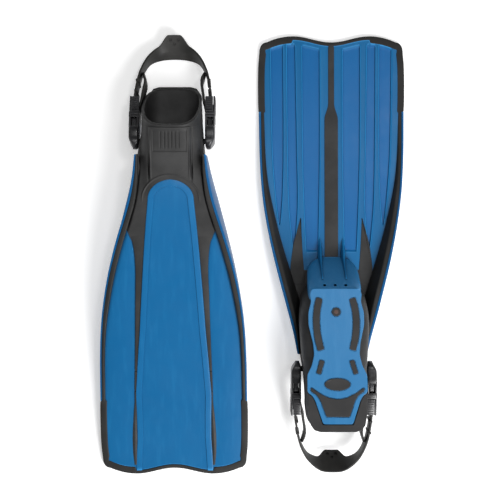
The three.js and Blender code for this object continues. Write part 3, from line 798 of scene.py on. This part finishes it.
def flex_leg():
    """The long rubber leg beside the panel, with the wedge that passes through to the underside."""
    rings = []
    ticks = (127.0, 157.0)
    stations = set(np.linspace(14, 368, 120)) | {t + d for t in ticks for d in (-1.2, -0.5, 0.5, 1.2)}
    for y in sorted(stations):
        inner = panel_half(y) - 0.6
        outer = leg_outer(y)
        middle, reach = (inner + outer) / 2, (outer - inner) / 2
        fold = 0.9 * fade(14, 40, y) * fade(105, 80, y)
        tick = 0.9 * sum(bell(y - t, 0.7) for t in ticks)
        top = 2.6 + 0.004 * y - tick - 1.9 * fade(350, 368, y)
        rings.append(rounded([
            (middle + reach, y, 0.5), (middle + reach, y, top - fold), (middle, y, top + fold * 0.2),
            (middle - reach, y, top - fold), (middle - reach, y, 0.5),
        ], 0.8, 3))
    strip = loft(rings)
    corners = [
        (45.5, 268), (52, 290), (57, 310), (60.5, 335), (62, 366), (39, 366), (42, 330), (43.5, 308),
    ]
    wedge = loft(edge_rings(soft_outline(corners, 1.5, 4), -PLATE_HALF - 0.9, 1.0, 0.5, -1))
    return on_blade(merged(strip, wedge))


def centre_stripe():
    outline = both_sides([(4.4, 13), (4.4, 104), (10, 120), (10, 330)])
    return on_blade(pad(soft_outline(outline, 5, 5), -PLATE_HALF - 1.0, -1.0, 0.5))


# ---- the foot pocket ----
# Each ring of the pocket leans back: "top" is its y at the top, "bottom" its y at the sole.
ring_bottom = profile([
    (338, 386), (366, 407), (395, 433), (430, 470), (465, 508), (495, 548), (516, 575.5),
])
ring_half = profile([
    (338, 22), (345, 33), (354, 38), (366, 45), (395, 50), (430, 48.5), (465, 45.5), (495, 43),
    (516, 42),
])
ring_height = profile([
    (338, 49), (354, 56), (366, 61), (395, 67), (430, 74), (465, 82), (495, 88.5), (516, 93),
])
RIDGE_X = 28.5
WIDE_POWER = 0.55  # below 1, both make the rings squarish
TALL_POWER = 0.65
WEB_START = 345.0


def under_rest(y, z):
    """Keeps a height below the plane that the fin rests on when it lies sole up."""
    return np.minimum(z, 2 * TIP_EDGE_HALF + (RIM_TOP - 2 * TIP_EDGE_HALF) / RIM_Y * y - 0.15)


def rim_sag(x, top, share):
    """How far the instep dips forward near the rim."""
    centred = 1 - (np.clip(np.abs(x) / ring_half(top), 0, 1)) ** 4
    return 8.5 * fade(430, 512, top) * fade(0.6, 1.0, share) * centred


def squarish(half, low, high, power_x, power_z, count):
    """x and z of evenly spaced points round a squarish oval, starting at its lowest point."""
    turns = np.linspace(-math.pi / 2, 1.5 * math.pi, 6 * count + 1)
    sway, rise = np.cos(turns), np.sin(turns)
    x = half * np.sign(sway) * np.abs(sway) ** power_x
    z = (low + high) / 2 + (high - low) / 2 * np.sign(rise) * np.abs(rise) ** power_z
    length = np.concatenate([[0], np.cumsum(np.hypot(np.diff(x), np.diff(z)))])
    even = np.linspace(0, length[-1], count, endpoint=False)
    return np.interp(even, length, x), np.interp(even, length, z)


def pocket_ring(top, inset=0.0):
    """A leaning ring round the pocket."""
    half, height, bottom = ring_half(top) - inset, ring_height(top), ring_bottom(top)
    x, z = squarish(half, POCKET_BOTTOM + inset, height - inset, WIDE_POWER, TALL_POWER, 240)
    share = (z - POCKET_BOTTOM) / (height - POCKET_BOTTOM)
    y = bottom + (top - bottom) * share - rim_sag(x, top, share)
    return np.stack([x, y, under_rest(y, z)], axis=1)


def foot_pocket():
    outer = [pocket_ring(top) for top in np.linspace(338, RIM_Y - 2.5, 96)]
    lip = []
    for turn in np.linspace(0, math.pi, 9):
        inset = (WALL + 0.4) / 2 * (1 - math.cos(turn)) - 0.7 * math.sin(turn) * math.cos(turn) - 0.3
        lip.append(pocket_ring(RIM_Y - 1.6 + 1.5 * math.sin(turn), inset))
    inner = [pocket_ring(top, WALL) for top in np.linspace(RIM_Y - 3, 352, 50)]
    stud = rod((43, PIVOT_Y, PIVOT_Z), (56.5, PIVOT_Y, PIVOT_Z), 4.0)
    return merged(loft(outer + lip + inner), mirror(stud), stud)


def crown_height(x, y):
    """z of the pocket's upper face at (x, y)."""
    top = y
    for _ in range(3):  # the lean and the height depend on each other, and settle in three rounds
        half = ring_half(top)
        sway = np.clip(np.abs(x) / half, 0, 1) ** (1 / WIDE_POWER)
        rise = np.sqrt(1 - sway ** 2) ** TALL_POWER
        height = ring_height(top)
        z = (POCKET_BOTTOM + height) / 2 + (height - POCKET_BOTTOM) / 2 * rise
        share = (z - POCKET_BOTTOM) / (height - POCKET_BOTTOM)
        top = y + rim_sag(x, top, share) - (ring_bottom(top) - top) * (1 - share)
    return z


def pocket_skin():
    """The upper skin: a web between the rails that flows up over the instep to the rim."""
    u = np.linspace(-1, 1, 201)
    v = np.linspace(0, 1, 190)[:, None]
    end = RIM_Y - 4.5
    y_even = WEB_START + v * (end - WEB_START)
    width = inside_edge(np.minimum(y_even, RAIL_END - 4)) + 1.6
    width = width + (ring_half(RIM_Y) - 0.2 - width) * fade(RAIL_END - 12, end, y_even)
    x = u * width
    reach = np.abs(x)
    front = WEB_START + 23 * fade(54, 66, reach[0])
    rear = end - rim_sag(reach[-1], RIM_Y, 1.0)
    y = front * (1 - v) + rear * v
    plane = TIP_EDGE_HALF + BLADE_SLOPE * y
    slope = 8.0 * fade(405, 468, y) * fade(RIDGE_X - 2, 44, reach)
    gutter = 2.4 * bell(inside_edge(y) - reach - 0.5, 1.6)
    gutter = gutter * fade(474, 455, y) * fade(352, 375, y)
    sink = 16 * fade(RAIL_END - 22, end, y)
    lift = 3.2 + 1.0 * fade(WEB_START, 360, y) + 0.004 * (y - WEB_START)
    web = plane + lift - gutter - slope - sink
    crown = crown_height(x, y) + 0.8
    top = np.logaddexp(web / 1.3, crown / 1.3) * 1.3
    top = np.minimum(top, np.maximum(web, crown) + 0.8)

    rise = (PANEL_END - ROUND_START) / ROUND_HALF
    beyond = np.maximum(y - ROUND_START, 0) / rise
    from_middle = np.hypot(reach * ROUND_HALF / panel_half(y), beyond)
    under_panel = fade(ROUND_HALF - 0.4, ROUND_HALF - 2.4, from_middle)
    arc = bell(from_middle - 40.5, 1.0) * fade(398, 415, y)
    near_rim = 1 - 0.6 * fade(462, 500, y)
    raised = 2.3 * near_rim * fade(RIDGE_X + 1.1, RIDGE_X - 0.6, reach) * fade(428, 448, y)
    bead = 1.3 * near_rim * bell(reach - RIDGE_X + 1.2, 0.8) * fade(430, 446, y)
    inset = 0.9 * fade(RIDGE_X - 4, RIDGE_X - 5, reach)
    inset = inset * fade(470.5, 471.8, y) * fade(503, 498, y)
    flank = 2.4 * near_rim * bell(reach - RIDGE_X - 2.2, 0.9) * fade(425, 442, y)
    grooves = sum(bell(x - line, 0.8) for line in (-13, -7.5, -2.5, 2.5, 7.5, 13))
    grooves = 0.7 * grooves * fade(474, 478, y) * fade(500, 496, y)
    top = under_rest(y, top + arc + raised + bead - flank - inset - grooves - 3 * under_panel)
    bottom = np.where(y < 440, plane - 2.9 + 0.3 * fade(378, 368, y), top - 3.2)
    bottom = np.minimum(bottom, top - 1.2)
    return sheet(x, y, top, bottom)


# ---- the sole ----
SOLE_SIDE = [
    (33, 379.5), (36.5, 386), (35, 398), (39, 413.5), (39, 430), (33, 456), (31.5, 472), (35, 487),
    (41.5, 500),
]
PLUG_Y = 412.5
FRAME_REAR = [(41.5, 524), (35, 528.5), (31, 535.5), (20.5, 567)]
FRAME_HOLE = [
    (16.3, 557.5), (24.5, 535), (29.5, 527.8), (37, 523), (38.3, 519.5), (36, 517), (24, 525),
    (12, 531), (0, 533),
]


def both_sides(points):
    return list(points) + [(-x, y) for x, y in reversed(points) if x > 0]


def ribbon(path, half, count=14):
    """A band of constant half-width along a smooth path, with rounded ends."""
    t, fine = np.linspace(0, 1, len(path)), np.linspace(0, 1, count)
    line = np.polyval(np.polyfit(t, np.array(path, float), len(path) - 1), fine[:, None])
    along = np.gradient(line, axis=0)
    across = along[:, ::-1] * [-half, half] / np.linalg.norm(along, axis=1)[:, None]
    return soft_outline(np.vstack([line + across, (line - across)[::-1]]), half * 0.5, 2)


def ellipse(x, y, radius_x, radius_y, count=40):
    turns = np.linspace(0, 2 * math.pi, count, endpoint=False)
    return np.stack([x + radius_x * np.cos(turns), y + radius_y * np.sin(turns)], axis=1)


def sole_pads():
    long = ribbon([(23, 393), (28, 428), (22, 466)], 4.8)
    short = ribbon([(20.5, 480), (26, 498.5)], 3.4, 6)
    flip = np.array([-1, 1])
    return {
        "toe_grip_right": long,
        "toe_grip_left": long * flip,
        "arch_grip_right": short,
        "arch_grip_left": short * flip,
        "heel_grip_oval": ellipse(0, 513, 18, 8.4),
        "sole_plug": ellipse(0, PLUG_Y, 6.2, 6.2, 32),
    }


def cup_ring(share, inset=0.0):
    """A leaning ring of the toe cup; share 0 is its rounded front, 1 its open rear."""
    top = 326 + 30 * share
    bottom = 380 + 20 * share
    half = 24 + 13.8 * math.sqrt(max(1 - (1 - min(share * 2.2, 1)) ** 2, 0)) - inset
    height = 50.5 + 5.0 * share - inset
    low = 0.8 + inset
    x, z = squarish(half, low, height, 0.45, 0.45, 120)
    return np.stack([x, bottom + (top - bottom) * (z - low) / (height - low), z], axis=1)


def toe_cup():
    front = cup_ring(0)
    centre = front.mean(axis=0)
    rings = [centre + (front - centre) * s for s in (0.3, 0.6, 0.85, 0.96)]
    rings += [cup_ring(share) for share in np.linspace(0, 1, 24)]
    rings += [cup_ring(share, 3.2) + [0, 0.6, 0] for share in np.linspace(1, 0.25, 8)]
    drains = [rod((x, 372, 0.5), (x, 377, 17), 2.3, 20, 0.1) for x in (-15, 0, 15)]
    return carve(loft(rings), merged(*drains))


def sole_frame():
    outline = soft_outline(both_sides(SOLE_SIDE + FRAME_REAR), 3.5, 5)
    holes = [soft_outline(both_sides(FRAME_HOLE), 2, 4)]
    holes += [offset(pad_outline, 0.4) for pad_outline in sole_pads().values()]
    return merged(plate([outline] + holes, 0.5, SOLE_TOP, 0.5), toe_cup())


def heel_bumper():
    outside = [(24, 577.5), (32.5, 575), (37.5, 568), (39.8, 556), (41.5, 525.3)]
    inside = [(41.2, 525), (35.6, 529.1), (31.7, 536), (21.1, 567.6)]
    return pad(soft_outline(both_sides(outside + inside), 1.2, 3), 0.0, SOLE_TOP + 0.4, 0.7)


# ---- the buckles, built on the right in the strap's frame ----
NOSE_RADIUS = 11.5


def teardrop():
    """The socket's solid rounded nose."""
    rings = []
    nose = -(NOSE_RADIUS - 0.1) * np.cos(np.linspace(0, math.pi / 2, 14))
    for y in [*nose, *np.linspace(2, WINDOW_START, 10)]:
        if y <= 0:
            tall = NOSE_RADIUS * math.sqrt(1 - (y / NOSE_RADIUS) ** 2) + 0.3
        else:
            tall = 11.8 + (SOCKET_HALF - 11.8) * fade(0, 15, y)
        outer = SOCKET_OUTER - 5.6 * fade(4, -NOSE_RADIUS, y) ** 1.3
        inner = SOCKET_INNER + 2.4 * fade(-3, -NOSE_RADIUS, y)
        corners = [(inner, y, -tall), (outer, y, -tall), (outer, y, tall), (inner, y, tall)]
        rings.append(rounded(corners, min(3.4, tall * 0.7), 5))
    return loft(rings)


def socket():
    """The rounded nose, two side walls round the window, and a collar with two ribs."""
    inner, outer, half = SOCKET_INNER, SOCKET_OUTER, SOCKET_HALF
    start, collar = WINDOW_START - 2, SOCKET_END - 8.5
    boxes = [
        ((inner, start, -half), (50.2, collar + 2, half), 1.2),
        ((58.8, start, -half), (outer, collar + 2, half), 1.2),
    ]
    for sign in (-1, 1):
        low, high = outward(sign, TUNNEL_HALF, half + 0.3)
        boxes += [
            ((inner - 0.2, collar, low), (outer + 0.4, collar + 3.2, high), 0.8),
            ((inner - 0.2, collar + 4.2, low), (outer + 0.4, SOCKET_END, high), 0.8),
            ((inner + 0.6, collar + 1, low), (outer - 0.6, SOCKET_END - 1, high - 0.9), 0.5),
        ]
    boxes += [
        ((inner - 0.2, collar, -half), (50.4, SOCKET_END, half), 0.8),
        ((58.6, collar, -half), (outer + 0.4, SOCKET_END, half), 0.8),
    ]
    return merged(teardrop(), blocks(boxes))


def clip():
    """The tongue and prong roots inside the socket, and the ribbed cheeks that hold the strap."""
    front = SOCKET_END + 0.6
    boxes = [
        ((51.2, WINDOW_START - 1.2, -1.6), (57.8, front + 3, 1.6), 0.5),
        ((SOCKET_INNER, front, -SOCKET_HALF), (58.6, front + 3.4, SOCKET_HALF), 0.7),
    ]
    for sign in (-1, 1):
        low, high = outward(sign, STRAP_HALF + 0.9, SOCKET_HALF)
        boxes.append(((SOCKET_INNER, front + 0.5, low), (58.6, CLIP_END, high), 0.9))
        low, high = outward(sign, SOCKET_HALF - 0.4, SOCKET_HALF + 0.35)
        for k in range(6):
            y = front + 4.5 + k * 3.2
            boxes.append(((SOCKET_INNER + 1.4, y, low), (57.4, y + 1.7, high), 0.35))
        low, high = outward(sign, 3.6, 11.6)
        boxes.append(((53.6, WINDOW_END + 0.5, low), (55.4, front + 1, high), 0.5))
    return blocks(boxes)


def button(sign):
    """A prong in the socket's window, with two thin ribs for the finger."""
    low, high = outward(sign, 4.4, TUNNEL_HALF - 0.9)
    boxes = [((51.4, WINDOW_START + 1, low), (57.6, WINDOW_END - 1, high), 0.7)]
    low, high = outward(sign, TUNNEL_HALF - 1.4, TUNNEL_HALF - 0.4)
    for x in (52.2, 55.6):
        boxes.append(((x, WINDOW_START + 2, low), (x + 1.2, WINDOW_END - 2, high), 0.3))
    return blocks(boxes)


def lever():
    """The outer plate that frees the strap, with seven grip ribs."""
    front = SOCKET_END + 1.2
    boxes = [((59.1, front, -12.4), (61.7, CLIP_END + 1.5, 12.4), 0.9)]
    for k in range(7):
        y = front + 3.6 + k * 2.9
        boxes.append(((61.2, y, -10.4), (62.2, y + 1.5, 10.4), 0.45))
    return blocks(boxes)


def strap_bar():
    return rod((BAR_X, BAR_Y, -SOCKET_HALF + 0.6), (BAR_X, BAR_Y, SOCKET_HALF - 0.6), BAR_RADIUS)


# ---- the heel strap ----
def spline(points):
    """Points along a centripetal Catmull-Rom curve, twelve to a span."""
    points = np.array(points, float)
    padded = np.vstack([2 * points[0] - points[1], points, 2 * points[-1] - points[-2]])
    gaps = np.linalg.norm(np.diff(padded, axis=0), axis=1)
    knots = np.concatenate([[0], np.cumsum(np.sqrt(gaps))])

    def between(t, i, j, first, second):
        share = (t - knots[i]) / (knots[j] - knots[i])
        return (1 - share) * first + share * second

    out = []
    for i in range(1, len(padded) - 2):
        for t in np.linspace(knots[i], knots[i + 1], 12, endpoint=False):
            a, b, c = (between(t, k, k + 1, padded[k], padded[k + 1]) for k in (i - 1, i, i + 1))
            ahead, behind = between(t, i - 1, i + 1, a, b), between(t, i, i + 2, b, c)
            out.append(between(t, i, i + 1, ahead, behind))
    return np.array([*out, points[-1]])


def strap_path():
    turn = BAR_RADIUS + 0.5 + STRAP_THICKNESS / 2
    around = [
        (BAR_X + turn * math.cos(a), BAR_Y + turn * math.sin(a))
        for a in np.radians(np.linspace(180, 360, 5))
    ]
    right = [
        (45.5, 108), (41.5, 93), (43.6, 77), *around, (BAR_X + turn - 0.6, 66), (52.5, 90),
        (47.5, 111), (37, 131), (20, STRAP_APEX - 2.6), (0, STRAP_APEX),
    ]
    left = [(-x, y) for x, y in right[-2::-1]]
    return spline(right + left)


def heel_strap(lean_degrees):
    path = strap_path()
    along = np.gradient(path, axis=0)
    along /= np.linalg.norm(along, axis=1)[:, None]
    length = np.concatenate([[0], np.cumsum(np.linalg.norm(np.diff(path, axis=0), axis=1))])
    rings, frames = [], []
    for (x, y), (dx, dy), here in zip(path, along, length):
        from_end = min(here, length[-1] - here)
        on_band = y > 110 and from_end > 50
        away = np.array([dy, -dx, 0])
        near_apex = 1 - fade(8, 46, abs(x)) if on_band else 0.0
        lean = math.radians(lean_degrees) * near_apex
        up = np.array([0, math.sin(lean), math.cos(lean)])
        flat = away - up * away.dot(up)
        flat /= np.linalg.norm(flat)
        tab = 13 * (1 - fade(8.5, 23, abs(x))) if on_band else 0.0
        width = STRAP_HALF + near_apex
        if from_end < 10:
            width *= 0.5 + 0.5 * from_end / 10
        thick = STRAP_THICKNESS / 2
        tooth = 0.9 * abs(math.sin(from_end * math.pi / 4.4)) if from_end < 46 else 0.0
        groove = 1.1 * near_apex
        face, edge, dip = thick + tooth, thick + tooth * 0.5, thick + tooth - groove
        section = [
            (-width, -thick), (-width, edge), (-width * 0.7, face), (-width * 0.6, dip),
            (-width * 0.5, face), (width * 0.5, face), (width * 0.6, dip), (width * 0.7, face),
            (width + tab, edge), (width + tab, -thick), (0, -thick),
        ]
        centre = np.array([x, y, 0.0])
        rings.append(rounded([centre + up * a + flat * b for a, b in section], 0.7, 2))
        frames.append((centre, up, flat))
    centre, up, flat = frames[len(path) // 2]
    holes = []
    for x, a in ((-6, 18), (6, 18), (0, 12)):
        at = centre + up * a + np.array([x, 0, 0])
        for side in (-1, 1):
            holes.append(rod(at + flat * 0.4 * side, at + flat * 6 * side, 2.4, 20, 0.1))
    return carve(loft(rings), merged(*holes))


def strap_keepers():
    """Small moulded nubs that guide the doubled-back tails."""
    parts, half = [], STRAP_HALF + 1.3
    for x, y in ((53.6, 76), (52.0, 93)):
        nub = block((x - 2.6, y - 1.6, -half), (x + 2.6, y + 1.6, half), 0.8)
        parts += [nub, mirror(nub)]
    return merged(*parts)


def build_fin(fin):
    fin_place, strap_place = fin_matrices(fin)

    def add(name, part, material, node, smooth=35.0, place=fin_place):
        add_piece(f"{fin}_{name}", part, place, material, f"{fin}_{node}", smooth)

    sheet_part, marks = blade_plate()
    # Faces on the channel floors take the darker blue of painted shade.
    add_piece(
        f"{fin}_plate_sheet", sheet_part, fin_place, SHEET_BLUE, f"{fin}_blade", 60,
        SHADED_CHANNEL_BLUE, marks,
    )
    add("centre_panel", centre_panel(), BLUE, "blade")
    add("gussets", merged(gusset(), mirror(gusset())), BLUE, "blade")
    # The rails' outer walls take the darker blue of painted shade.
    add("rail_right_skin", rail_skin(), SHADED_RAIL_BLUE, "rail_right")
    add("rail_left_skin", mirror(rail_skin()), SHADED_RAIL_BLUE, "rail_left")
    add("rubber_edge_band", rubber_edge(), EDGE_RUBBER, "rubber_edge", 50)
    add("leg_right", flex_leg(), SOFT_RUBBER, "flex_leg_right")
    add("leg_left", mirror(flex_leg()), SOFT_RUBBER, "flex_leg_left")
    add("under_stripe", centre_stripe(), SOFT_RUBBER, "centre_stripe")
    add("pocket_shell", foot_pocket(), SOFT_RUBBER, "foot_pocket", 60)
    add("pocket_skin", pocket_skin(), SOFT_RUBBER, "foot_pocket", 60)
    # The sole frame and toe cup take the paler blue of painted light.
    add("sole_plate", sole_frame(), LIT_SOLE_BLUE, "sole_frame")
    for name, outline in sole_pads().items():
        add(f"{name}_pad", pad(outline, 0.0, SOLE_TOP, 0.6), GRIP_RUBBER, name)
    core = pad(ellipse(0, PLUG_Y, 3.2, 3.2, 28), -0.12, SOLE_TOP, 0.4)
    add("sole_plug_core", core, PLUG_RUBBER, "sole_plug")
    add("heel_rubber", heel_bumper(), GRIP_RUBBER, "heel_bumper")
    centre = pad(offset(soft_outline(both_sides(FRAME_HOLE), 2, 4), -0.4), 0.0, SOLE_TOP + 0.4, 0.6)
    add("heel_centre_rubber", centre, GRIP_RUBBER, "heel_pad_centre")

    for side in ("right", "left"):
        for name, part, material, node in (
            ("socket_{}", socket(), BUCKLE, "buckle_socket"),
            ("clip_{}", clip(), BUCKLE, "buckle_clip"),
            ("upper_prong_{}", button(1), BUCKLE, "button_upper"),
            ("lower_prong_{}", button(-1), BUCKLE, "button_lower"),
            ("lever_{}_plate", lever(), BUCKLE, "strap_lever"),
            ("bar_{}", strap_bar(), STEEL, "strap_bar"),
        ):
            part = mirror(part) if side == "left" else part
            add(name.format(side), part, material, f"{node}_{side}", place=strap_place)
    band = heel_strap(STRAP_LEAN[fin])
    add("strap_band", band, STRAP_RUBBER, "heel_strap", 40, strap_place)
    add("strap_keepers", strap_keepers(), STRAP_RUBBER, "heel_strap", 35, strap_place)


for fin_name in ("finA", "finB"):
    build_fin(fin_name)


# ---- floor, light and camera ----
FLOOR_REACH = 6.0
VIEW_WIDTH = 0.750  # metres, seen at the floor
SENSOR_WIDTH = 36.0
CAMERA_HEIGHT = 1.20
CAMERA_SHIFT = -0.0045, 0.0073
LIGHTS = {
    # place, target, size and power
    "key": ((1.0, -1.25, 1.35), (0, 0, 0), 1.1, 54),
    "sheen": ((0.60, 0.48, 1.9), (0.2, 0.15, 0), 0.3, 6),
    "top": ((-0.10, 0.16, 0.62), (-0.11, 0.12, 0), 0.3, 0.9),
}
FLOOR_GLOW = 0.36
ZENITH_LIGHT = 0.18
HORIZON_LIGHT = 0.75


def studio():
    """A pale floor that glows a little, so that it stays white under soft shadows."""
    floor_mesh = bpy.data.meshes.new("studio_floor")
    corners = [(x * FLOOR_REACH, y * FLOOR_REACH, 0) for x, y in ((-1, -1), (1, -1), (1, 1), (-1, 1))]
    floor_mesh.from_pydata(corners, [], [(0, 1, 2, 3)])
    material, shader, place = node_material("studio_white")
    set_inputs(shader, {
        "Base Color": blend_colour(noise(place, 3, 2), (0.84, 0.84, 0.84), (0.86, 0.86, 0.86)),
        "Roughness": 0.9,
        "Specular IOR Level": 0.1,
        "Emission Color": (1, 1, 1),
        "Emission Strength": FLOOR_GLOW,
    })
    floor_mesh.materials.append(material)
    add_object("studio_floor", floor_mesh)


def soft_room():
    """World light that is dim overhead and behind, and bright towards the front horizon."""
    world = bpy.data.worlds.new("soft_room")
    world.use_nodes = True
    tree = world.node_tree
    background = tree.nodes["Background"]
    direction = make_node(tree, "TexCoord", {}).outputs["Generated"]
    split = make_node(tree, "SeparateXYZ", {0: direction})
    height = ramp(split.outputs["Z"], 0.25, 0.95)
    strength = scaled(height, ZENITH_LIGHT - HORIZON_LIGHT, HORIZON_LIGHT)
    front = scaled(ramp(split.outputs["Y"], -0.1, 0.6), -0.75, 1.0)
    product = make_node(tree, "Math", {0: strength, 1: front})
    product.operation = "MULTIPLY"
    set_inputs(background, {"Strength": product.outputs[0], "Color": (1, 1, 1)})
    return world


def area_light(name, place, target, size, power):
    data = bpy.data.lights.new(name, "AREA")
    data.shape = "DISK"
    data.size = size
    data.energy = power
    light = add_object(name, data)
    light.location = place
    light.rotation_euler = (Vector(target) - Vector(place)).to_track_quat("-Z", "Y").to_euler()


def lights_and_camera():
    for name, settings in LIGHTS.items():
        area_light(name, *settings)
    scene = bpy.context.scene
    scene.world = soft_room()
    scene.view_settings.view_transform = "Standard"
    low, high = (Vector(corner) for corner in cad_box)
    middle = (low + high) / 2
    data = bpy.data.cameras.new("overhead")
    data.sensor_width = SENSOR_WIDTH
    data.lens = SENSOR_WIDTH * CAMERA_HEIGHT / VIEW_WIDTH
    camera = add_object("overhead", data)
    camera.location = (middle.x + CAMERA_SHIFT[0], middle.y + CAMERA_SHIFT[1], CAMERA_HEIGHT)
    scene.camera = camera


studio()
lights_and_camera()
